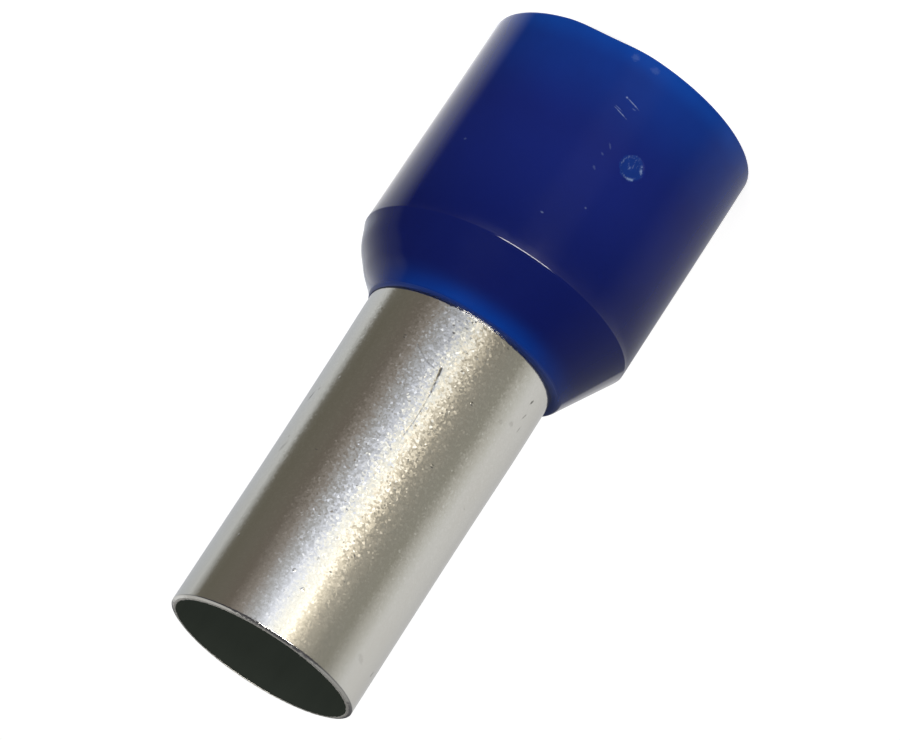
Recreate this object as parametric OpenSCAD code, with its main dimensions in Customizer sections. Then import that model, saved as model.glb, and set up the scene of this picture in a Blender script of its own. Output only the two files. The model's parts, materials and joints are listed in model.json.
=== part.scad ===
// Insulated wire ferrule: a thin plated copper sleeve whose bell mouth is held in a
// moulded plastic collar. It stands on the collar's mouth, centred on the Z axis,
// and +Z runs along the axis to the sleeve's tip.

/* [Sleeve] */
// Inner diameter of the sleeve, which takes the bare strands
sleeve_bore = 10.3; // [8:0.1:11.5]
// Thickness of the sleeve's metal
sleeve_wall = 0.3; // [0.2:0.05:0.5]
// Length of bare sleeve beyond the collar
free_length = 20; // [12:0.5:30]
// Rounding of the tip's outer edge
tip_round = 0.2; // [0.05:0.05:0.4]

/* [Bell mouth] */
// Radius of the bend between the sleeve and its bell mouth, on the collar's side
bend_radius = 0.6; // [0.3:0.1:1]
// Length of the bell mouth down its slope
bell_length = 2.2; // [1:0.1:2.6]

/* [Collar] */
// Inner diameter of the skirt, which takes the wire's insulation
collar_bore = 14.9; // [14:0.1:18]
// Thickness of the skirt
skirt_wall = 0.5; // [0.4:0.05:0.8]
// Length of the skirt, from the mouth to the shoulder
skirt_length = 13; // [9:0.5:20]
// Length of the cone, from the shoulder to the front face
cone_length = 3.6; // [2.6:0.1:6]
// Width of the front face round the sleeve
face_width = 0.5; // [0.3:0.05:0.8]

/* [Collar edges] */
// Rounding of the shoulder between skirt and cone
shoulder_round = 0.4; // [0.1:0.1:0.8]
// Rounding of the corner between the skirt's inside and the funnel
funnel_round = 0.5; // [0.1:0.1:1]
// Rounding of the front face's outer edge
face_round = 0.1; // [0.05:0.05:0.4]
// Rounding of both edges of the mouth's rim
rim_round = 0.15; // [0.05:0.05:0.3]

/* [Hidden] */
$fn = 96;

// Straight steps that make up each rounded edge in an outline
arc_steps = 8;
// Least flat that a rounding leaves beside it on a thin wall
edge_land = 0.05;

sleeve_in = sleeve_bore / 2;
sleeve_out = sleeve_in + sleeve_wall;
skirt_in = collar_bore / 2;
skirt_out = skirt_in + skirt_wall;
face_out = sleeve_out + face_width;

face_z = skirt_length + cone_length;
tip_z = face_z + free_length;

// The cone's outside and the funnel inside it slope alike, by this angle from the axis
slope = atan2(skirt_out - face_out, cone_length);

// Heights at which the funnel's slope would meet the sleeve and the skirt's inside
neck_z = face_z - bend_radius * tan(slope / 2);
funnel_z = neck_z - (skirt_in - sleeve_out) / tan(slope);

tip_edge = min(tip_round, sleeve_wall - edge_land);
rim_edge = min(rim_round, skirt_wall / 2 - edge_land);
face_edge = min(face_round, face_width - edge_land);

// Centres of the roundings, each its own radius away from both of its faces
tip_at = [sleeve_out - tip_edge, tip_z - tip_edge];
bend_at = [sleeve_out + bend_radius, face_z];
face_at = [face_out - face_edge * tan(45 - slope / 2), face_z - face_edge];
shoulder_at = [skirt_out - shoulder_round, skirt_length - shoulder_round * tan(slope / 2)];
funnel_at = [skirt_in - funnel_round, funnel_z - funnel_round * tan(slope / 2)];
outer_rim_at = [skirt_out - rim_edge, rim_edge];
inner_rim_at = [skirt_in + rim_edge, rim_edge];

// Point at a distance and an angle from another
function polar(centre, radius, angle) = centre + radius * [cos(angle), sin(angle)];

// Points round an arc from one angle to another
function arc(centre, radius, from, to) = [
    for (step = [0 : arc_steps]) polar(centre, radius, from + (to - from) * step / arc_steps)
];

// Lower end of the bell mouth, on the side that lies against the funnel
bell_end = polar(polar(bend_at, bend_radius, 180 + slope), bell_length, 270 + slope);

// Section of the sleeve: one thickness of metal from the bell mouth, round the bend
// and up to the tip
sleeve_outline = concat(
    [bell_end, polar(bell_end, sleeve_wall, 180 + slope)],
    arc(bend_at, bend_radius + sleeve_wall, 180 + slope, 180),
    [[sleeve_in, tip_z]],
    arc(tip_at, tip_edge, 90, 0),
    arc(bend_at, bend_radius, 180, 180 + slope)
);

// Section of the collar: rim, skirt, shoulder, cone, front face, the neck that curves
// with the sleeve's bend, and the funnel down to the skirt's inside
collar_outline = concat(
    arc(outer_rim_at, rim_edge, 270, 360),
    arc(shoulder_at, shoulder_round, 0, slope),
    arc(face_at, face_edge, slope, 90),
    arc(bend_at, bend_radius, 180, 180 + slope),
    arc(funnel_at, funnel_round, slope, 0),
    arc(inner_rim_at, rim_edge, 180, 270)
);

module sleeve() {
    color("#b9b8b0") rotate_extrude() polygon(sleeve_outline);
}

module collar() {
    color("#14205f") rotate_extrude() polygon(collar_outline);
}

sleeve();
collar();
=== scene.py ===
import json
import math

import bpy
from mathutils import Matrix, Vector
from mathutils.noise import noise as noise_at


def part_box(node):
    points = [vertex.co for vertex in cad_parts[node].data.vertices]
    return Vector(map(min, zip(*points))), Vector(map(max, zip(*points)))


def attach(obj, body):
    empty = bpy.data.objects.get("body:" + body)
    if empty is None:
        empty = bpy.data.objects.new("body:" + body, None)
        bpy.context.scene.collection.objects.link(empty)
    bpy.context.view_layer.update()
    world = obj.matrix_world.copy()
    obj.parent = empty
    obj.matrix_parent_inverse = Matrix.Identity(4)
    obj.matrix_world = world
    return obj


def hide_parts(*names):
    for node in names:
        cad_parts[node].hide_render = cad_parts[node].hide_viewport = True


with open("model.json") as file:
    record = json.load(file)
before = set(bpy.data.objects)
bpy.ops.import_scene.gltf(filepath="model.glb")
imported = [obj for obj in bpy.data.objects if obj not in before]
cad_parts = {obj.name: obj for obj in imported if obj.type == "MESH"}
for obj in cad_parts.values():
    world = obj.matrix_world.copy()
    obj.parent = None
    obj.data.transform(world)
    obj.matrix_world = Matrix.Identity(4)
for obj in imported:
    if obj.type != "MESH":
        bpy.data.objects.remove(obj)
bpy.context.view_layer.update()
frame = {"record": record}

MM = 0.001
MICRON = 0.000001

# Sizes that the frame gives, in metres
MOUNTS = {mount["name"]: mount for mount in frame["record"]["mounts"]}
SLEEVE_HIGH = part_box("sleeve")[1]
COLLAR_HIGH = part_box("collar")[1]
SLEEVE_IN = MOUNTS["strand_bore"]["dims"]["r_mm"] * MM
SLEEVE_OUT = MOUNTS["sleeve_outside"]["dims"]["r_mm"] * MM
SKIRT_IN = MOUNTS["insulation_bore"]["dims"]["r_mm"] * MM
SKIRT_OUT = COLLAR_HIGH.x
TIP_Z = SLEEVE_HIGH.z
FACE_Z = COLLAR_HIGH.z

# Lengths and roundings of the two sections, in metres
CONE_LENGTH = 3.6 * MM
FACE_WIDTH = 0.5 * MM
BEND_RADIUS = 0.6 * MM
BELL_LENGTH = 2.2 * MM
TIP_ROUND = 0.06 * MM
BORE_ROUND = 0.04 * MM
SHOULDER_ROUND = 0.4 * MM
FUNNEL_ROUND = 0.5 * MM
FACE_ROUND = 0.4 * MM
RIM_ROUND = 0.05 * MM

# The bevelled lip of the tip: its slope, and the height in millimetres that it takes
LIP_SLOPE = math.radians(25)
LIP_HEIGHT = 0.18

FACE_OUT = SLEEVE_OUT + FACE_WIDTH
SHOULDER_Z = FACE_Z - CONE_LENGTH
SLOPE = math.atan2(SKIRT_OUT - FACE_OUT, CONE_LENGTH)

# The grid of the meshes, as counts of steps, and as steps and ends in degrees and millimetres
ARC_STEPS = 8
CONE_STEPS = 20
CONE_END = 0.01
COARSE_TURN = 1.0
FINE_TURN = 0.2
COARSE_RISE = 0.4
FINE_RISE = 0.04
EDGE_RISE = 0.03
SHOULDER_END = 0.1
INSIDE_RISE = 1.0
INSIDE_END = 0.5

# The zones with fine steps, at the crack and at the gate mark, in degrees and millimetres
FINE_CRACK_TURNS = (-2, 23)
FINE_CRACK_RISES = (19.2, 20.4)
FINE_GATE_TURNS = (-23, -11)
FINE_GATE_RISES = (5.0, 6.5)

# How near to a wall, to the neck or to the bore a place counts as lying on it, in metres
WALL_NEAR = 0.01 * MM
NECK_NEAR = 0.02 * MM
BORE_NEAR = 0.06 * MM

# The sleeve is a little wider towards the collar, and its bare part is set a little to one side
SLEEVE_FLARE = 0.08 * MM
SLEEVE_FLARE_LENGTH = 12 * MM
FLARE_BELOW_FACE = 0.6 * MM
FLARE_START_LENGTH = 0.5 * MM
SLEEVE_SHIFT = 0.035 * MM
SLEEVE_SHIFT_LENGTH = 4 * MM

# The burr on the inner edge of the tip: its size, where it is, and its waves for each degree
BURR_HEIGHT = 0.08 * MM
BURR_BELOW_TIP = 0.06 * MM
BURR_WIDTH = 0.08 * MM
BURR_WAVES = 0.47

# The collar leans, and on its +X side the cone swells, is tucked in at the neck and stands higher
COLLAR_LEAN = 0.10 * MM
CONE_BELOW_SHOULDER = 0.6 * MM
CONE_BULGE = 0.17 * MM
CONE_BULGE_BELOW_FACE = 2.4 * MM
CONE_BULGE_REACH = 1.3 * MM
NECK_TUCK = 0.65
NECK_TUCK_LENGTH = 1.4 * MM
FACE_LIFT = 0.15 * MM
SHOULDER_LIFT = 0.32 * MM
SHOULDER_LIFT_REACH = 3 * MM

# The shoulder's edge is round in front and crisper at the sides, with angles in degrees
CRISP_SHARE = 0.9
CRISP_FROM = 12
CRISP_TURN = 18

# The worn stretch of the rim: its depth, its angle and reach in degrees, and its height
RIM_WEAR = 0.13 * MM
RIM_WEAR_AT = 18
RIM_WEAR_TURN = 20
RIM_WEAR_RISE = 1.5 * MM

# The round gate mark on the skirt, as (angle, height) in degrees and millimetres
GATE_AT = (-17.0, 5.75)
GATE_RADIUS = 0.76 * MM
GATE_DEPTH = 0.04 * MM
GATE_FLAT_SHARE = 0.7
GATE_BELOW_SHOULDER = 1 * MM

# The hairline crack in the sleeve, as lines of (angle, height) in degrees and millimetres,
# each with its half width, its depth and how dark it is, and the zone that holds them all
CRACKS = [
    ([(3.5, 19.9), (2.4, 20.5), (1.2, 21.3)], 0.090 * MM, 0.020 * MM, 1.0),
    ([(1.2, 21.3), (0.4, 22.3), (0.4, 23.2), (1.0, 24.2)], 0.045 * MM, 0.006 * MM, 0.65),
    ([(6.5, 20.1), (11.5, 20.0), (16.5, 19.75), (21.5, 19.4)], 0.045 * MM, 0.006 * MM, 0.6),
]
CRACK_TURNS = (-4, 24)
CRACK_RISES = (18, 25)

# Marks as (angle, height, length, width, tilt, strength), in degrees and millimetres
SCUFFS = [
    (-2.0, 3.62, 1.0, 0.075, -15, 0.65), (-0.4, 3.45, 0.6, 0.06, -12, 0.4),
    (-4.0, 2.80, 0.95, 0.08, -15, 0.65), (-0.9, 2.70, 0.15, 0.12, 0, 0.8),
    (-5.6, 3.05, 0.3, 0.10, 0, 0.3), (-4.8, 6.98, 0.3, 0.16, -40, 0.2),
    (-4.6, 6.10, 0.25, 0.14, -30, 0.2), (-5.5, 5.50, 0.4, 0.14, -50, 0.2),
    (2.4, 10.65, 0.20, 0.12, 0, 0.4), (-10.4, 9.10, 0.14, 0.12, 0, 0.35),
    (47.0, 8.55, 0.2, 0.14, 0, 0.3), (-4.5, 0.55, 0.6, 0.45, 0, 0.13),
    (4.5, 0.50, 0.5, 0.50, 0, 0.16), (150.0, 5.0, 0.9, 0.07, 20, 0.6),
    (154.0, 4.6, 0.6, 0.06, 15, 0.5), (-120.0, 8.0, 0.7, 0.07, -30, 0.5),
]
STAINS = [
    (72.0, 23.75, 0.7, 0.20, 75, 0.6), (66.0, 27.05, 0.8, 0.35, 60, 0.22),
    (-52.0, 34.6, 0.8, 0.4, -20, 0.13), (-73.0, 34.5, 0.5, 0.2, 60, 0.45),
    (-56.4, 17.95, 0.42, 0.16, 70, 0.9), (-57.6, 18.80, 0.5, 0.12, 65, 0.5),
    (-51.0, 19.70, 0.5, 0.35, 0, 0.2), (-43.0, 20.10, 0.4, 0.3, 0, 0.15),
    (-60.0, 19.5, 0.5, 0.12, 80, 0.35), (140.0, 30.0, 0.9, 0.25, 40, 0.5),
    (-150.0, 24.0, 0.7, 0.3, 70, 0.4), (170.0, 20.0, 0.3, 0.24, 0, 0.8),
]

# How ragged a mark's edge is, and where it starts and is full, in half lengths and half widths
MARK_RAGGED = 1.2
MARK_START = 1.7
MARK_FULL = 1.0

# Colours of the tin plate outside; near-black colours inside, which paint the bore's shade, and a
# painted glow for the light that bounces about in the bore
TIN_WARM = (0.64, 0.62, 0.575, 1)
TIN_COOL = (0.69, 0.685, 0.655, 1)
TIN_GRAIN = (0.85, 0.84, 0.81, 1)
TIN_STAIN = (0.12, 0.115, 0.10, 1)
TIN_CRACK = (0.04, 0.035, 0.03, 1)
TIN_EDGE_TINT = (0.75, 0.75, 0.75, 1)
BORE_PAINTED_SHADE_DARK = (0.002, 0.0024, 0.002, 1)
BORE_PAINTED_SHADE_PALE = (0.003, 0.0036, 0.003, 1)
BOUNCE_DARK = (0.018, 0.0215, 0.0175, 1)
BOUNCE_PALE = (0.0225, 0.0265, 0.0215, 1)

# Colours of the plastic, from the mouth up to the neck, with painted glow where light comes through
# and painted shade on the cone, and of its clouds, gate and worn marks
BLUE_MOUTH_PAINTED_GLOW = (0.0035, 0.039, 0.238, 1)
BLUE_LOW_PAINTED_GLOW = (0.0044, 0.0245, 0.172, 1)
BLUE_SKIRT = (0.0054, 0.0115, 0.107, 1)
BLUE_CONE_PAINTED_SHADE = (0.0025, 0.0055, 0.062, 1)
BLUE_NECK_PAINTED_GLOW = (0.0008, 0.024, 0.175, 1)
BLUE_FACE_PAINTED_LIGHT = (0.002, 0.018, 0.125, 1)
BLUE_CLOUD = (0.003, 0.008, 0.08, 1)
BLUE_GATE = (0.005, 0.036, 0.18, 1)
BLUE_WORN = (0.20, 0.27, 0.42, 1)

# Heights at which a look starts and at which it is full, in metres
LOW_RISES = (0.0, 1.5 * MM)
SKIRT_RISES = (0.5 * MM, 6 * MM)
CONE_RISES = (6 * MM, FACE_Z - 2 * MM)
NECK_RISES = (FACE_Z - 1.6 * MM, FACE_Z - 0.1 * MM)
FACE_RISES = (FACE_Z - 0.16 * MM, FACE_Z - 0.02 * MM)
FROST_RISES = (TIP_Z - 1 * MM, TIP_Z - 9 * MM)
BURR_RISES = (TIP_Z - 0.05 * MM, TIP_Z - 0.03 * MM)

# The tin's roughness, what the burr adds to it, and the heights of its bumps and the bore's
TIN_ROUGHNESS = (0.11, 0.16)
BURR_ROUGHNESS = 0.5
WAVE_BUMP = 12 * MICRON
FINE_BUMP = 1.5 * MICRON
BORE_BUMP = 10 * MICRON

# The frost on the tin: streaks round the sleeve, their sharpness, and the least share of it
FROST_STREAKS = 3.0
FROST_SHARPNESS = 1.5
FROST_LEAST = 0.15
FROST_AT_TIP = 0.35

# The plastic's roughness, what wear adds to it, its bumps, and the strength of each mark
PLASTIC_ROUGHNESS = (0.06, 0.12)
MATT_ROUGHNESS = 0.5
PLASTIC_BUMP = 3 * MICRON
CLOUD_STRENGTH = 0.25
SCUFF_STRENGTH = 0.6
GATE_SCUFF_STRENGTH = 0.55
GATE_TINT_STRENGTH = 0.4
FACE_MATT_STRENGTH = 0.6

# The painted glow at the neck: how fast it fades, and where round the collar it is full and least
GLOW_FADE = 1.9
GLOW_AT = math.radians(6)
GLOW_FULL_TURN = math.radians(8)
GLOW_LEAST_TURN = math.radians(70)
GLOW_LEAST = 0.40

# The camera, which looks along +Y and down, and is rolled
VIEW_DISTANCE = 0.23674
VIEW_ELEVATION = math.radians(19.02)
VIEW_ROLL = math.radians(-147.01)
VIEW_SIDE = 0.00053
VIEW_AIM = Vector((-0.000125, 0.0, 0.017847))
VIEW_LENS = 180.0
VIEW_SENSOR = 36.0
VIEW_NEAREST = 0.01

# The world's light on the object, and the floor's grey, its glow where it is seen, and its size
WHITE = (1, 1, 1, 1)
WORLD_LIGHT = 0.45
FLOOR_GREY = (0.6, 0.6, 0.6, 1)
FLOOR_GLOW = 0.72
FLOOR_REACH = 3.0
MOUTH_FADE = 0.06 * MM

# Where the sheets are that the metal and the plastic mirror, in metres
FLAG_HEIGHT = 0.02 * MM
SKIRT_FLAG_REACH = 36 * MM
SLEEVE_FLAG_REACH = 0.17
WALL_RADIUS = 0.42
WALL_MIDDLE = 0.24
WALL_TOP = 0.70
CAP_HOLE = 0.001

# Tones of the sheets by angle, which make the bands on the metal and the sheen on the plastic
SLEEVE_TONES = [
    (-90, (0.79, 0.79, 0.79)), (-50, (0.79, 0.79, 0.78)), (-46, (0.74, 0.74, 0.71)),
    (-40, (0.60, 0.59, 0.54)), (-33, (0.345, 0.335, 0.285)), (-28, (0.335, 0.325, 0.28)),
    (-15, (0.30, 0.28, 0.235)), (-10, (0.54, 0.49, 0.395)), (-6, (0.70, 0.64, 0.52)),
    (-5, (1.10, 1.03, 0.88)), (-3, (1.15, 1.10, 0.98)), (-2, (0.92, 0.90, 0.82)),
    (2, (0.87, 0.87, 0.82)), (8, (0.55, 0.58, 0.67)), (16, (0.41, 0.42, 0.44)),
    (24, (0.305, 0.275, 0.25)), (32, (0.185, 0.162, 0.137)), (40, (0.182, 0.168, 0.138)),
    (50, (0.168, 0.158, 0.126)), (55, (0.19, 0.18, 0.15)), (62, (0.74, 0.76, 0.76)),
    (72, (0.77, 0.80, 0.84)), (90, (0.77, 0.79, 0.83)),
]
SKIRT_TONES = [
    (-90, (0.40, 0.41, 0.43)), (-64, (0.38, 0.38, 0.40)), (-46, (0.25, 0.25, 0.26)),
    (-34, (0.05, 0.05, 0.05)), (-14, (0.05, 0.05, 0.05)), (-8, (0.14, 0.14, 0.13)),
    (2, (0.14, 0.14, 0.13)), (8, (0.05, 0.05, 0.05)), (54, (0.04, 0.04, 0.05)),
    (62, (0.60, 0.62, 0.64)), (72, (1.0, 1.0, 1.0)), (90, (1.2, 1.2, 1.2)),
]
CONE_TONES = [
    (-180, (0.03, 0.03, 0.04)), (-176, (0.04, 0.04, 0.05)), (-168, (0.13, 0.13, 0.14)),
    (-160, (0.19, 0.19, 0.20)), (-143, (0.28, 0.29, 0.30)), (-110, (0.27, 0.28, 0.29)),
    (-60, (0.06, 0.06, 0.07)), (-40, (0.045, 0.045, 0.055)), (-10, (0.045, 0.045, 0.055)),
    (20, (0.06, 0.06, 0.07)), (104, (0.06, 0.06, 0.07)), (109, (0.20, 0.21, 0.22)),
    (124, (0.30, 0.31, 0.32)), (150, (0.76, 0.77, 0.78)), (165, (1.0, 1.01, 1.02)),
    (170, (0.20, 0.20, 0.21)), (180, (0.03, 0.03, 0.04)),
]
LIP_TONES = [
    (-180, (0.20, 0.20, 0.20)), (-170, (0.40, 0.40, 0.40)), (-130, (0.45, 0.45, 0.44)),
    (-110, (0.27, 0.28, 0.29)), (-60, (0.06, 0.06, 0.07)), (-40, (0.045, 0.045, 0.055)),
    (-10, (0.045, 0.045, 0.055)), (20, (0.06, 0.06, 0.07)), (104, (0.06, 0.06, 0.07)),
    (109, (0.20, 0.21, 0.22)), (135, (0.60, 0.60, 0.59)), (170, (0.66, 0.66, 0.65)),
    (180, (0.20, 0.20, 0.20)),
]
CAP_TONES = [(-180, (0.10, 0.10, 0.11)), (180, (0.10, 0.10, 0.11))]

# How many times brighter a sheet on the table is at its far edge than at its near one, by angle
SLEEVE_GAINS = [
    (-90, (1.0,)), (-50, (1.0,)), (-40, (0.86,)), (-24, (1.15,)), (-16, (2.2,)), (-8, (2.75,)),
    (0, (1.95,)), (8, (2.75,)), (16, (1.75,)), (24, (1.2,)), (32, (1.0,)), (58, (1.0,)),
    (66, (0.85,)), (90, (1.0,)),
]
EVEN_GAINS = [(-90, (1.0,)), (90, (1.0,))]


# ---------------------------------------------------------------- outlines

def polar(centre, radius, angle):
    """The point at a distance and an angle from another, as (radius, height)."""
    return (centre[0] + radius * math.cos(angle), centre[1] + radius * math.sin(angle))


def arc(centre, radius, start, end):
    """Points round an arc, from one angle in degrees to another."""
    first, turn = math.radians(start), math.radians(end - start) / ARC_STEPS
    return [polar(centre, radius, first + step * turn) for step in range(ARC_STEPS + 1)]


def between(low, high, coarse, fine_zone=None, fine=None):
    """Values from low to high in coarse steps, with fine steps in one zone."""
    stops = [(low, high, coarse)]
    if fine_zone:
        stops = [(low, fine_zone[0], coarse), (*fine_zone, fine), (fine_zone[1], high, coarse)]
    values = []
    for start, end, step in stops:
        count = max(1, round((end - start) / step))
        values += [start + (end - start) * index / count for index in range(count)]
    return values + [high]


def wall_points(radius, heights):
    """Points along a straight wall, at heights in millimetres."""
    return [(radius, height * MM) for height in heights]


def sleeve_outline(heights):
    """The sleeve's section: bell mouth, bend, outside up to the tip, lip and bore."""
    slope = math.degrees(SLOPE)
    bend = (SLEEVE_OUT + BEND_RADIUS, FACE_Z)
    bell_outer = polar(polar(bend, BEND_RADIUS, math.pi + SLOPE), BELL_LENGTH, 1.5 * math.pi + SLOPE)
    bell_inner = polar(bell_outer, SLEEVE_OUT - SLEEVE_IN, math.pi + SLOPE)
    lip = (SLEEVE_IN + BORE_ROUND, TIP_Z - BORE_ROUND)
    drop = (SLEEVE_OUT - SLEEVE_IN - TIP_ROUND - BORE_ROUND) * math.tan(LIP_SLOPE)
    tip = (SLEEVE_OUT - TIP_ROUND, TIP_Z - TIP_ROUND - drop)
    lean = 90 - math.degrees(LIP_SLOPE)
    up = [FACE_Z / MM + EDGE_RISE, *heights[1:-1], heights[-1] - EDGE_RISE]
    down = between(TIP_Z / MM - INSIDE_END, FACE_Z / MM + INSIDE_END, -INSIDE_RISE)
    return (
        [bell_inner, bell_outer]
        + arc(bend, BEND_RADIUS, 180 + slope, 180)
        + wall_points(SLEEVE_OUT, up)
        + arc(tip, TIP_ROUND, 0, lean)
        + arc(lip, BORE_ROUND, lean, 180)
        + wall_points(SLEEVE_IN, down)
        + arc(bend, BEND_RADIUS + SLEEVE_OUT - SLEEVE_IN, 180, 180 + slope)
    )


def cone_points(low, high):
    """Points up the straight cone between its two roundings, with one close to each of them."""
    shares = [CONE_END] + [step / CONE_STEPS for step in range(1, CONE_STEPS)] + [1 - CONE_END]
    return [tuple(a + (b - a) * share for a, b in zip(low, high)) for share in shares]


def collar_outline(heights):
    """The collar's section: rim, skirt, shoulder, cone, front face, neck and funnel."""
    slope = math.degrees(SLOPE)
    neck_z = FACE_Z - BEND_RADIUS * math.tan(SLOPE / 2)
    funnel_z = neck_z - (SKIRT_IN - SLEEVE_OUT) / math.tan(SLOPE)
    outer_rim = (SKIRT_OUT - RIM_ROUND, RIM_ROUND)
    inner_rim = (SKIRT_IN + RIM_ROUND, RIM_ROUND)
    shoulder = (SKIRT_OUT - SHOULDER_ROUND, SHOULDER_Z - SHOULDER_ROUND * math.tan(SLOPE / 2))
    face = (FACE_OUT - FACE_ROUND * math.tan(math.pi / 4 - SLOPE / 2), FACE_Z - FACE_ROUND)
    bend = (SLEEVE_OUT + BEND_RADIUS, FACE_Z)
    funnel = (SKIRT_IN - FUNNEL_ROUND, funnel_z - FUNNEL_ROUND * math.tan(SLOPE / 2))
    neck_lip = [(SLEEVE_OUT + EDGE_RISE * MM, FACE_Z)]
    down = between(funnel[1] / MM - INSIDE_END, INSIDE_END, -INSIDE_RISE)
    return (
        arc(outer_rim, RIM_ROUND, 270, 360)
        + wall_points(SKIRT_OUT, heights[1:-1])
        + arc(shoulder, SHOULDER_ROUND, 0, slope)
        + cone_points(polar(shoulder, SHOULDER_ROUND, SLOPE), polar(face, FACE_ROUND, SLOPE))
        + arc(face, FACE_ROUND, slope, 90)
        + neck_lip
        + arc(bend, BEND_RADIUS, 180, 180 + slope)
        + arc(funnel, FUNNEL_ROUND, slope, 0)
        + wall_points(SKIRT_IN, down)
        + arc(inner_rim, RIM_ROUND, 180, 270)
    )


# ---------------------------------------------------------------- meshes

def lathe(name, outline, angles, shape):
    """A closed ring mesh: the outline turned round Z. shape() gives each point's place and mark."""
    points = []
    marks = []
    for angle in angles:
        for radius, height in outline:
            point, mark = shape(radius, angle, height)
            points.append(point)
            marks.append(mark)
    rows, columns = len(outline), len(angles)
    faces = []
    for column in range(columns):
        here, there = column * rows, (column + 1) % columns * rows
        for row in range(rows):
            below, above = row, (row + 1) % rows
            faces.append((here + below, there + below, there + above, here + above))
    mesh = bpy.data.meshes.new(name)
    mesh.from_pydata(points, [], faces)
    mesh.attributes.new("crack", "FLOAT", "POINT").data.foreach_set("value", marks)
    mesh.shade_smooth()
    piece = bpy.data.objects.new(name, mesh)
    bpy.context.scene.collection.objects.link(piece)
    return piece


def round_point(radius, angle, height):
    """The point at an angle round Z, where 0 faces the camera and 90 is +X."""
    turn = math.radians(angle)
    return Vector((radius * math.sin(turn), -radius * math.cos(turn), height))


def distance_to_line(point, line):
    """Shortest distance from a point to a line of several straight pieces, in a plane."""
    best = 1.0
    for (ax, ay), (bx, by) in zip(line, line[1:]):
        dx, dy = bx - ax, by - ay
        share = ((point[0] - ax) * dx + (point[1] - ay) * dy) / (dx * dx + dy * dy)
        share = min(1.0, max(0.0, share))
        best = min(best, math.hypot(point[0] - ax - share * dx, point[1] - ay - share * dy))
    return best


def unrolled(angle, height, radius):
    """A place on a round wall as flat (along, up) coordinates, in metres."""
    return (math.radians(angle) * radius, height)


def smooth(share):
    """A soft step from 0 to 1."""
    share = min(1.0, max(0.0, share))
    return share * share * (3 - 2 * share)


def bump_at(value, middle, reach):
    """A smooth hump, 1 at the middle and 0 beyond its reach."""
    return 1 - smooth(abs(value - middle) / reach)


def within(value, zone):
    """Whether a value lies between the two ends of a zone."""
    return zone[0] < value < zone[1]


def crack_at(angle, height):
    """The crack at a place on the sleeve, as (depth, darkness)."""
    depth = dark = 0.0
    if within(angle, CRACK_TURNS) and within(height / MM, CRACK_RISES):
        place = unrolled(angle, height, SLEEVE_OUT)
        for line, half_width, full_depth, full_dark in CRACKS:
            flat = [unrolled(turn, rise * MM, SLEEVE_OUT) for turn, rise in line]
            share = bump_at(distance_to_line(place, flat), 0, half_width)
            depth = max(depth, share * full_depth)
            dark = max(dark, share * full_dark)
    return depth, dark


def sleeve_shape(radius, angle, height):
    """Sleeve: a slight flare near the collar, the hairline crack and a burred inner edge."""
    depth = dark = 0.0
    above = height - FACE_Z
    if radius > SLEEVE_OUT - WALL_NEAR:
        depth, dark = crack_at(angle, height)
        flare = 1 - smooth(above / SLEEVE_FLARE_LENGTH)
        radius += SLEEVE_FLARE * flare * smooth((above + FLARE_BELOW_FACE) / FLARE_START_LENGTH)
    if height > TIP_Z - BURR_BELOW_TIP and radius < SLEEVE_IN + BURR_WIDTH:
        radius -= BURR_HEIGHT * max(0.0, noise_at(Vector((angle * BURR_WAVES, 0.0, 0.0))))
    point = round_point(radius - depth, angle, height)
    point.x -= SLEEVE_SHIFT * smooth(above / SLEEVE_SHIFT_LENGTH)
    return point, dark


def crisp_shoulder(radius, angle, height):
    """A radius on the shoulder's rounding, drawn out to the sharp edge at the sides."""
    sharp = SKIRT_OUT - max(0.0, height - SHOULDER_Z) * math.tan(SLOPE)
    return radius + (sharp - radius) * CRISP_SHARE * smooth((abs(angle) - CRISP_FROM) / CRISP_TURN)


def gate_dip(angle, height):
    """How deep the gate mark is at a place on the skirt."""
    gap = math.hypot(*unrolled(angle - GATE_AT[0], height - GATE_AT[1] * MM, SKIRT_OUT))
    edge = (1 - GATE_FLAT_SHARE) * GATE_RADIUS
    return GATE_DEPTH * (1 - smooth((gap - GATE_FLAT_SHARE * GATE_RADIUS) / edge))


def collar_shape(radius, angle, height):
    """Collar: it leans, its cone swells to one side, and its skirt has a gate mark and a worn rim."""
    side = max(0.0, math.sin(math.radians(angle))) ** 2
    if abs(height - SHOULDER_Z) < SHOULDER_ROUND and radius > SKIRT_OUT - SHOULDER_ROUND:
        radius = crisp_shoulder(radius, angle, height)
    if height > SHOULDER_Z - CONE_BELOW_SHOULDER and radius > SLEEVE_OUT + NECK_NEAR:
        swell = bump_at(height, FACE_Z - CONE_BULGE_BELOW_FACE, CONE_BULGE_REACH)
        tuck = smooth((height - FACE_Z + NECK_TUCK_LENGTH) / NECK_TUCK_LENGTH)
        radius = SLEEVE_OUT + (radius - SLEEVE_OUT) * (1 - NECK_TUCK * side * tuck)
        radius += side * CONE_BULGE * swell
    lift = side * SHOULDER_LIFT * bump_at(height, SHOULDER_Z, SHOULDER_LIFT_REACH)
    if radius > SLEEVE_OUT + NECK_NEAR:
        lift += side * FACE_LIFT * smooth((height - SHOULDER_Z) / (FACE_Z - SHOULDER_Z))
    lift += RIM_WEAR * bump_at(angle, RIM_WEAR_AT, RIM_WEAR_TURN) * bump_at(height, 0.0, RIM_WEAR_RISE)
    if radius > SKIRT_OUT - WALL_NEAR and height < SHOULDER_Z - GATE_BELOW_SHOULDER:
        radius -= gate_dip(angle, height)
    point = round_point(radius, angle, height + lift)
    point.x -= COLLAR_LEAN * (1 - smooth(height / FACE_Z))
    return point, 0.0


# ---------------------------------------------------------------- nodes

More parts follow.
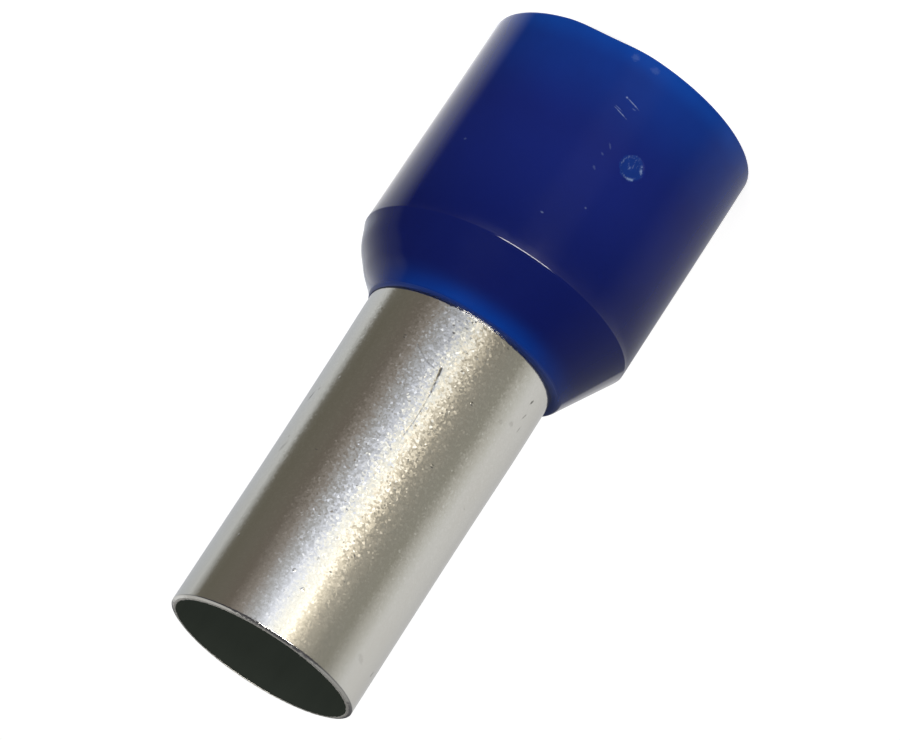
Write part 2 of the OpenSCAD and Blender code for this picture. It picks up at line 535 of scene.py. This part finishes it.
def add(tree, kind, settings=None, inputs=None):
    """A new node. An input is a value, or the output socket that feeds it."""
    made = tree.nodes.new(kind)
    for name, value in (settings or {}).items():
        setattr(made, name, value)
    for key, value in (inputs or {}).items():
        if isinstance(value, bpy.types.NodeSocket):
            tree.links.new(value, made.inputs[key])
        else:
            made.inputs[key].default_value = value
    return made


def calc(tree, operation, first, second=0.0, third=0.0):
    """One sum on two or three values."""
    inputs = {0: first, 1: second, 2: third}
    return add(tree, "ShaderNodeMath", {"operation": operation}, inputs).outputs[0]


def spread(tree, value, low, high, to_low=0.0, to_high=1.0):
    """Moves a value from one range to another, and holds it there."""
    inputs = {0: value, 1: low, 2: high, 3: to_low, 4: to_high}
    return add(tree, "ShaderNodeMapRange", {"interpolation_type": "SMOOTHSTEP"}, inputs).outputs[0]


def noise(tree, where, scale, detail=2.0, roughness=0.5):
    """Noise with features about 1/scale metres across."""
    inputs = {"Vector": where, "Scale": scale, "Detail": detail, "Roughness": roughness}
    return add(tree, "ShaderNodeTexNoise", {}, inputs).outputs[0]


def lengthwise(tree, where, rise):
    """Coordinates with their height times rise, so that a pattern on them is drawn out along Z."""
    return add(tree, "ShaderNodeMapping", {}, {"Vector": where, "Scale": (1, 1, rise)}).outputs[0]


def mixed(tree, factor, first, second):
    """A mix of two colours."""
    made = add(tree, "ShaderNodeMix", {"data_type": "RGBA"}, {0: factor, 6: first, 7: second})
    return made.outputs[2]


def joined(tree, operation, first, second=(0.0, 0.0, 0.0)):
    """One sum on two vectors."""
    inputs = {0: first, 1: second}
    return add(tree, "ShaderNodeVectorMath", {"operation": operation}, inputs).outputs[0]


def scaled(tree, vector, factor):
    """A vector times a number."""
    inputs = {"Vector": vector, "Scale": factor}
    return add(tree, "ShaderNodeVectorMath", {"operation": "SCALE"}, inputs).outputs[0]


def length_of(tree, vector):
    """The length of a vector."""
    return add(tree, "ShaderNodeVectorMath", {"operation": "LENGTH"}, {0: vector}).outputs["Value"]


def bumped(tree, height, distance, normal=None):
    """A normal that follows a height, with distance as the height of 1."""
    inputs = {"Strength": 1.0, "Distance": distance, "Height": height}
    if normal:
        inputs["Normal"] = normal
    return add(tree, "ShaderNodeBump", {}, inputs).outputs[0]


def object_place(tree):
    """The place on the object that is shaded."""
    return add(tree, "ShaderNodeTexCoord").outputs["Object"]


def height_of(tree, where):
    """The height of a place."""
    return add(tree, "ShaderNodeSeparateXYZ", {}, {0: where}).outputs[2]


def turned(tree, where):
    """The angle round Z of a place, in radians, where 0 faces the camera."""
    parts = add(tree, "ShaderNodeSeparateXYZ", {}, {0: where})
    return calc(tree, "ARCTAN2", parts.outputs[0], calc(tree, "MULTIPLY", parts.outputs[1], -1.0))


def new_material(name):
    """An empty node material with its output, as (material, tree, output)."""
    material = bpy.data.materials.new(name)
    material.use_nodes = True
    tree = material.node_tree
    tree.nodes.clear()
    return material, tree, tree.nodes.new("ShaderNodeOutputMaterial")


# ---------------------------------------------------------------- materials

def cells_at(tree, where, scale):
    """Round cells about 1/scale metres apart, as (colour, centre) sockets."""
    inputs = {"Vector": where, "Scale": scale, "Randomness": 1.0}
    cells = add(tree, "ShaderNodeTexVoronoi", {}, inputs)
    return cells.outputs["Color"], cells.outputs["Position"]


def picked(tree, centre):
    """A random value from 0 to 1 for each cell."""
    return add(tree, "ShaderNodeTexWhiteNoise", {}, {"Vector": centre}).outputs["Value"]


def grains(tree, where, scale, least, most, rarity):
    """Fine grains that each tilt their own way, most of them by little, as (tilt, pick)."""
    colour, centre = cells_at(tree, where, scale)
    tilt = joined(tree, "SUBTRACT", colour, (0.5, 0.5, 0.5))
    tilt = joined(tree, "MULTIPLY", tilt, (1.0, 1.0, 0.4))
    pick = picked(tree, centre)
    size = calc(tree, "MULTIPLY_ADD", calc(tree, "POWER", pick, rarity), most - least, least)
    return scaled(tree, tilt, size), pick


def frosted(tree, where, height):
    """How coarse the grain is: three broad lengthwise streaks, finer towards the tip."""
    streak = calc(tree, "COSINE", calc(tree, "MULTIPLY", turned(tree, where), FROST_STREAKS))
    streak = calc(tree, "POWER", calc(tree, "MULTIPLY_ADD", streak, 0.5, 0.5), FROST_SHARPNESS)
    streak = calc(tree, "MULTIPLY_ADD", streak, 1 - FROST_LEAST, FROST_LEAST)
    return calc(tree, "MULTIPLY", streak, spread(tree, height, *FROST_RISES, FROST_AT_TIP, 1.0))


def droplets(tree, where, scale, radius, share, rise):
    """Small round drops in some of the cells, as an offset for a normal."""
    _, centre = cells_at(tree, where, scale)
    away = joined(tree, "SUBTRACT", where, centre)
    gap = length_of(tree, away)
    chosen = calc(tree, "LESS_THAN", picked(tree, centre), share)
    inside = calc(tree, "LESS_THAN", gap, radius)
    steep = calc(tree, "MULTIPLY", gap, rise / radius ** 2)
    return scaled(tree, away, calc(tree, "MULTIPLY", calc(tree, "MULTIPLY", chosen, inside), steep))


def mark_mask(tree, where, radius, marks):
    """1 on the marks of a round wall, and 0 elsewhere, with broken edges."""
    rise = height_of(tree, where)
    turn = turned(tree, where)
    ragged = noise(tree, where, scale=9000, roughness=0.6)
    mask = None
    for angle, height, length, width, tilt, strength in marks:
        along = calc(tree, "MULTIPLY_ADD", turn, radius, -math.radians(angle) * radius)
        up = calc(tree, "ADD", rise, -height * MM)
        cos, sin = math.cos(math.radians(tilt)), math.sin(math.radians(tilt))
        first = calc(tree, "MULTIPLY_ADD", up, sin, calc(tree, "MULTIPLY", along, cos))
        second = calc(tree, "MULTIPLY_ADD", up, cos, calc(tree, "MULTIPLY", along, -sin))
        first = calc(tree, "POWER", calc(tree, "DIVIDE", first, length * MM / 2), 2.0)
        second = calc(tree, "POWER", calc(tree, "DIVIDE", second, width * MM / 2), 2.0)
        gap = calc(tree, "SQRT", calc(tree, "ADD", first, second))
        gap = calc(tree, "MULTIPLY_ADD", ragged, MARK_RAGGED, gap)
        one = spread(tree, gap, MARK_START, MARK_FULL, 0.0, strength)
        mask = calc(tree, "MAXIMUM", mask, one) if mask else one
    return mask


def tin_colour(tree, where, patch, bright):
    """Grey tin, warmer and cooler in patches, with stains, pale grains and the dark crack."""
    colour = mixed(tree, patch, TIN_WARM, TIN_COOL)
    colour = mixed(tree, mark_mask(tree, where, SLEEVE_OUT, STAINS), colour, TIN_STAIN)
    colour = mixed(tree, bright, colour, TIN_GRAIN)
    crack = add(tree, "ShaderNodeAttribute", {"attribute_name": "crack"}).outputs["Fac"]
    broken = noise(tree, where, scale=5000, roughness=0.6)
    broken = spread(tree, broken, 0.38, 0.60, 0.25, 0.95)
    return mixed(tree, calc(tree, "MULTIPLY", crack, broken), colour, TIN_CRACK)


def tin_normal(tree, where, tilt):
    """The tin's normal: low waves, fine bumps, the tilt of the grains and a few drops."""
    wave = noise(tree, lengthwise(tree, where, 0.25), scale=900, detail=1.0)
    normal = bumped(tree, wave, WAVE_BUMP)
    normal = bumped(tree, noise(tree, where, scale=14000, detail=1.0), FINE_BUMP, normal)
    normal = joined(tree, "ADD", normal, tilt)
    drops = droplets(tree, where, scale=1300, radius=0.10 * MM, share=0.10, rise=0.30)
    return joined(tree, "NORMALIZE", joined(tree, "ADD", normal, drops))


def tin_material():
    """Bright tin plate: frosty grain with sparkling facets, fine stains, and a duller burr."""
    material, tree, output = new_material("tin_plate")
    where = object_place(tree)
    height = height_of(tree, where)
    frost = frosted(tree, where, height)
    patch = noise(tree, lengthwise(tree, where, 0.4), scale=500, detail=3.0)
    tilt, pick = grains(tree, where, scale=9000, least=0.15, most=0.45, rarity=6.0)
    bright = calc(tree, "MULTIPLY", calc(tree, "POWER", pick, 3.0), frost)
    burr = spread(tree, height, *BURR_RISES, 0.0, BURR_ROUGHNESS)
    shader = add(tree, "ShaderNodeBsdfPrincipled", {}, {
        "Base Color": tin_colour(tree, where, patch, bright), "Metallic": 1.0,
        "Roughness": calc(tree, "ADD", spread(tree, patch, 0.3, 0.7, *TIN_ROUGHNESS), burr),
        "Normal": tin_normal(tree, where, scaled(tree, tilt, frost)), "Specular Tint": TIN_EDGE_TINT,
    })
    tree.links.new(shader.outputs[0], output.inputs[0])
    return material


def bore_material():
    """The dull inside of the sleeve: a near-black base that paints its shade, with a painted glow for
    the little light that bounces about in it.
    """
    material, tree, output = new_material("tin_bore")
    patch = noise(tree, lengthwise(tree, object_place(tree), 0.3), scale=1200, detail=3.0)
    shader = add(tree, "ShaderNodeBsdfPrincipled", {}, {
        "Base Color": mixed(tree, patch, BORE_PAINTED_SHADE_DARK, BORE_PAINTED_SHADE_PALE),
        "Roughness": 0.8, "IOR": 1.3, "Specular IOR Level": 0.05,
        "Emission Color": mixed(tree, patch, BOUNCE_DARK, BOUNCE_PALE), "Emission Strength": 1.0,
        "Normal": bumped(tree, patch, BORE_BUMP),
    })
    tree.links.new(shader.outputs[0], output.inputs[0])
    return material


def gate_mask(tree, where):
    """The gate mark, as (blue tint, whitened scuff): a faint round with a broken pale edge."""
    centre = round_point(SKIRT_OUT, GATE_AT[0], GATE_AT[1] * MM)
    gap = length_of(tree, joined(tree, "SUBTRACT", where, centre))
    gap = calc(tree, "ADD", gap, -0.2 * GATE_RADIUS)
    ragged = noise(tree, where, scale=2600, detail=3.0, roughness=0.7)
    gap = calc(tree, "MULTIPLY_ADD", ragged, 0.4 * GATE_RADIUS, gap)
    disc = spread(tree, gap, GATE_RADIUS, 0.85 * GATE_RADIUS)
    off_ring = calc(tree, "ABSOLUTE", calc(tree, "ADD", gap, -0.8 * GATE_RADIUS))
    ring = spread(tree, off_ring, 0.16 * GATE_RADIUS, 0.0)
    broken = spread(tree, noise(tree, where, scale=1500, detail=4.0, roughness=0.75), 0.50, 0.64)
    inner = noise(tree, lengthwise(tree, where, 0.4), scale=4200, detail=3.0, roughness=0.7)
    inner = spread(tree, inner, 0.56, 0.72, 0.0, 0.6)
    ring, inner = calc(tree, "MULTIPLY", ring, broken), calc(tree, "MULTIPLY", inner, disc)
    return disc, calc(tree, "MAXIMUM", ring, inner)


def painted_neck_glow(tree, where, height):
    """Painted glow where light comes through the thin plastic by the neck, most of it in front."""
    near = calc(tree, "POWER", spread(tree, height, *NECK_RISES), GLOW_FADE)
    aside = calc(tree, "ABSOLUTE", calc(tree, "ADD", turned(tree, where), -GLOW_AT))
    front = spread(tree, aside, GLOW_LEAST_TURN, GLOW_FULL_TURN, GLOW_LEAST, 1.0)
    return calc(tree, "MULTIPLY", near, front)


def plastic_colour(tree, where, height, cloud, face):
    """Deep blue, with painted light: brighter at the mouth and the neck where light comes through,
    brighter on the face that the lamps leave dim, and painted shade on the cone.
    """
    colour = mixed(tree, spread(tree, height, *LOW_RISES), BLUE_MOUTH_PAINTED_GLOW, BLUE_LOW_PAINTED_GLOW)
    colour = mixed(tree, spread(tree, height, *SKIRT_RISES), colour, BLUE_SKIRT)
    colour = mixed(tree, spread(tree, height, *CONE_RISES), colour, BLUE_CONE_PAINTED_SHADE)
    colour = mixed(tree, painted_neck_glow(tree, where, height), colour, BLUE_NECK_PAINTED_GLOW)
    colour = mixed(tree, face, colour, BLUE_FACE_PAINTED_LIGHT)
    return mixed(tree, spread(tree, cloud, 0.3, 0.8, 0.0, CLOUD_STRENGTH), colour, BLUE_CLOUD)


def plastic_material():
    """Glossy deep blue plastic, with painted glow where it is thin, as if lit through, and with
    scuffs.
    """
    material, tree, output = new_material("blue_plastic")
    where = object_place(tree)
    height = height_of(tree, where)
    cloud = noise(tree, where, scale=300, detail=3.0)
    face = spread(tree, height, *FACE_RISES)
    disc, pale = gate_mask(tree, where)
    scuff = calc(tree, "MULTIPLY", mark_mask(tree, where, SKIRT_OUT, SCUFFS), SCUFF_STRENGTH)
    worn = calc(tree, "MAXIMUM", scuff, calc(tree, "MULTIPLY", pale, GATE_SCUFF_STRENGTH))
    colour = plastic_colour(tree, where, height, cloud, face)
    colour = mixed(tree, calc(tree, "MULTIPLY", disc, GATE_TINT_STRENGTH), colour, BLUE_GATE)
    matt = calc(tree, "MAXIMUM", worn, calc(tree, "MULTIPLY", face, FACE_MATT_STRENGTH))
    matt = calc(tree, "MULTIPLY", matt, MATT_ROUGHNESS)
    shader = add(tree, "ShaderNodeBsdfPrincipled", {}, {
        "Base Color": mixed(tree, worn, colour, BLUE_WORN), "IOR": 1.45,
        "Roughness": calc(tree, "ADD", spread(tree, cloud, 0.3, 0.7, *PLASTIC_ROUGHNESS), matt),
        "Normal": bumped(tree, noise(tree, where, scale=700), PLASTIC_BUMP),
    })
    tree.links.new(shader.outputs[0], output.inputs[0])
    return material


# ---------------------------------------------------------------- stage

def seen_rays(tree):
    """1 for camera, glossy and transmission rays, and 0 for the others."""
    path = add(tree, "ShaderNodeLightPath")
    either = calc(tree, "MAXIMUM", path.outputs["Is Camera Ray"], path.outputs["Is Glossy Ray"])
    return calc(tree, "MAXIMUM", either, path.outputs["Is Transmission Ray"])


def make_world():
    """White where it is seen, and softer as light on the object."""
    world = bpy.data.worlds.new("studio")
    world.use_nodes = True
    tree = world.node_tree
    tree.nodes.clear()
    strength = spread(tree, seen_rays(tree), 0.0, 1.0, WORLD_LIGHT, 1.0)
    background = add(tree, "ShaderNodeBackground", {}, {"Color": WHITE, "Strength": strength})
    output = tree.nodes.new("ShaderNodeOutputWorld")
    tree.links.new(background.outputs[0], output.inputs[0])
    bpy.context.scene.world = world


def stage_sheet(name, points, faces, material):
    """A flat or curved sheet of the stage."""
    mesh = bpy.data.meshes.new(name)
    mesh.from_pydata(points, [], faces)
    sheet = bpy.data.objects.new(name, mesh)
    bpy.context.scene.collection.objects.link(sheet)
    sheet.data.materials.append(material)
    return sheet


def make_floor():
    """A wide white floor, which keeps the object's shadow and doesn't glow inside the mouth."""
    material, tree, output = new_material("white_floor")
    away = length_of(tree, joined(tree, "ADD", object_place(tree), (COLLAR_LEAN, 0.0, 0.0)))
    free = spread(tree, away, SKIRT_IN, SKIRT_IN + MOUTH_FADE, 0.0, FLOOR_GLOW)
    strength = calc(tree, "MULTIPLY", seen_rays(tree), free)
    diffuse = add(tree, "ShaderNodeBsdfDiffuse", {}, {"Color": FLOOR_GREY})
    glow = add(tree, "ShaderNodeEmission", {}, {"Color": WHITE, "Strength": strength})
    both = add(tree, "ShaderNodeAddShader", {}, {0: diffuse.outputs[0], 1: glow.outputs[0]})
    tree.links.new(both.outputs[0], output.inputs[0])
    corners = [(-1, -1), (1, -1), (1, 1), (-1, 1)]
    points = [(x * FLOOR_REACH, y * FLOOR_REACH, 0) for x, y in corners]
    stage_sheet("floor", points, [(0, 1, 2, 3)], material)


def flag_material():
    """The tone of a flag, from its mesh's own colours."""
    material, tree, output = new_material("flag_tone")
    tone = add(tree, "ShaderNodeAttribute", {"attribute_name": "tone"}).outputs["Color"]
    glow = add(tree, "ShaderNodeEmission", {}, {"Color": tone, "Strength": 1.0})
    tree.links.new(glow.outputs[0], output.inputs[0])
    return material


def only_in_reflections(sheet):
    """Hides a sheet from all but glossy rays."""
    sheet.visible_camera = False
    sheet.visible_diffuse = False
    sheet.visible_shadow = False
    sheet.visible_transmission = False
    sheet.visible_volume_scatter = False


def flag(name, columns, material):
    """A graded sheet that only reflections see.

    A column is (inner point, outer point, inner tone, outer tone).
    """
    points = [point for column in columns for point in column[:2]]
    faces = [(2 * i, 2 * i + 1, 2 * i + 3, 2 * i + 2) for i in range(len(columns) - 1)]
    sheet = stage_sheet(name, points, faces, material)
    tones = sheet.data.color_attributes.new("tone", "FLOAT_COLOR", "POINT")
    for index, tone in enumerate(tone for column in columns for tone in column[2:]):
        tones.data[index].color = (*tone, 1.0)
    only_in_reflections(sheet)


def blended(stops, place):
    """The tone at a place on a list of (place, tone) stops."""
    for (low, first), (high, second) in zip(stops, stops[1:]):
        if place <= high:
            share = max(0.0, (place - low) / (high - low))
            return tuple(a + (b - a) * share for a, b in zip(first, second))
    return stops[-1][1]


def table_flag(name, stops, gains, wall, near, far, material):
    """A sheet on the table, graded by the angle on a round wall where the camera sees it mirrored.

    The camera only sees angles up to 90. The rest of the sheet keeps the tones of the last ones,
    and closes it round the wall.
    """
    columns = []
    for angle in range(-180, 181):
        seen = max(-90, min(90, angle))
        tone = blended(stops, seen)
        far_tone = tuple(part * blended(gains, seen)[0] for part in tone)
        start = round_point(wall, angle, FLAG_HEIGHT)
        away = round_point(1.0, 2 * seen, 0.0)
        columns.append((start + away * near, start + away * far, tone, far_tone))
    flag(name, columns, material)


def ring_flag(name, stops, low, high, near, far, material):
    """A ring sheet between two heights and two radii, graded by its angle round the Z axis."""
    columns = []
    for angle in range(-180, 181, 2):
        tone = blended(stops, angle)
        columns.append((round_point(near, angle, low), round_point(far, angle, high), tone, tone))
    flag(name, columns, material)


def make_flags():
    """What the sleeve and the skirt mirror on the table, and the cone and the lip round about."""
    tone = flag_material()
    split, reach, wall = SKIRT_FLAG_REACH, SLEEVE_FLAG_REACH, WALL_RADIUS
    table_flag("sleeve_flag", SLEEVE_TONES, SLEEVE_GAINS, SLEEVE_OUT, split, reach, tone)
    table_flag("skirt_flag", SKIRT_TONES, EVEN_GAINS, SKIRT_OUT, 0.0, split, tone)
    ring_flag("outer_flag", CONE_TONES, FLAG_HEIGHT, FLAG_HEIGHT, reach, wall, tone)
    ring_flag("cone_flag", CONE_TONES, 0.0, WALL_MIDDLE, wall, wall, tone)
    ring_flag("lip_flag", LIP_TONES, WALL_MIDDLE, WALL_TOP, wall, wall, tone)
    ring_flag("cap_flag", CAP_TONES, WALL_TOP, WALL_TOP, CAP_HOLE, wall, tone)


def soft_light(name, azimuth, elevation, distance, size, energy, colour):
    """A soft rectangular light that faces the middle of the object."""
    lamp = bpy.data.lights.new(name, "AREA")
    lamp.shape = "RECTANGLE"
    lamp.size, lamp.size_y = size
    lamp.energy = energy
    lamp.color = colour
    light = bpy.data.objects.new(name, lamp)
    bpy.context.scene.collection.objects.link(light)
    rise = math.radians(elevation)
    away = round_point(math.cos(rise), azimuth, math.sin(rise))
    light.location = Vector((0, 0, TIP_Z / 2)) + away * distance
    light.rotation_euler = away.to_track_quat("Z", "Y").to_euler()
    return light


def make_lights():
    """A low warm strip in front, and a cool light from the right that no surface mirrors."""
    soft_light("key_light", azimuth=-1, elevation=9, distance=0.30, size=(0.23, 0.03),
               energy=0.85, colour=(1.0, 0.97, 0.91))
    fill = soft_light("fill_light", azimuth=28, elevation=30, distance=0.30, size=(0.14, 0.14),
                      energy=0.25, colour=(0.88, 0.94, 1.0))
    fill.visible_glossy = False


def make_camera():
    """The camera, rolled so that the sleeve points down to the left."""
    data = bpy.data.cameras.new("camera")
    data.lens = VIEW_LENS
    data.sensor_width = VIEW_SENSOR
    data.clip_start = VIEW_NEAREST
    camera = bpy.data.objects.new("camera", data)
    bpy.context.scene.collection.objects.link(camera)
    back = Vector((VIEW_SIDE, -math.cos(VIEW_ELEVATION), math.sin(VIEW_ELEVATION)))
    look = back.to_track_quat("Z", "Y").to_matrix().to_4x4()
    place = Matrix.Translation(VIEW_AIM + back * VIEW_DISTANCE)
    camera.matrix_world = place @ look @ Matrix.Rotation(VIEW_ROLL, 4, "Z")
    bpy.context.scene.camera = camera


# ---------------------------------------------------------------- pieces

def is_inside(middle):
    """Whether a face of the sleeve, by its middle, is in the bore or on the hidden bell mouth."""
    bore = math.hypot(middle.x, middle.y) < SLEEVE_IN + BORE_NEAR and middle.z < TIP_Z - BORE_ROUND
    return bore or middle.z < FACE_Z


def make_sleeve():
    """The tin-plated sleeve, bright outside and dull inside."""
    low, high = FACE_Z / MM, TIP_Z / MM - LIP_HEIGHT
    heights = between(low, high, COARSE_RISE, FINE_CRACK_RISES, FINE_RISE)
    angles = between(-180, 180, COARSE_TURN, FINE_CRACK_TURNS, FINE_TURN)[:-1]
    sleeve = lathe("tinned_sleeve", sleeve_outline(heights), angles, sleeve_shape)
    sleeve.data.materials.append(tin_material())
    sleeve.data.materials.append(bore_material())
    for face in sleeve.data.polygons:
        face.material_index = 1 if is_inside(face.center) else 0
    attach(sleeve, "root")
    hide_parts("sleeve")


def make_collar():
    """The moulded collar."""
    low, high = RIM_ROUND / MM, SHOULDER_Z / MM - SHOULDER_END
    heights = between(low, high, COARSE_RISE, FINE_GATE_RISES, FINE_RISE)
    angles = between(-180, 180, COARSE_TURN, FINE_GATE_TURNS, FINE_TURN)[:-1]
    collar = lathe("blue_collar", collar_outline(heights), angles, collar_shape)
    collar.data.materials.append(plastic_material())
    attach(collar, "root")
    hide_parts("collar")


make_camera()
make_world()
make_floor()
make_flags()
make_lights()
make_sleeve()
make_collar()

scene = bpy.context.scene
scene.view_settings.view_transform = "Standard"
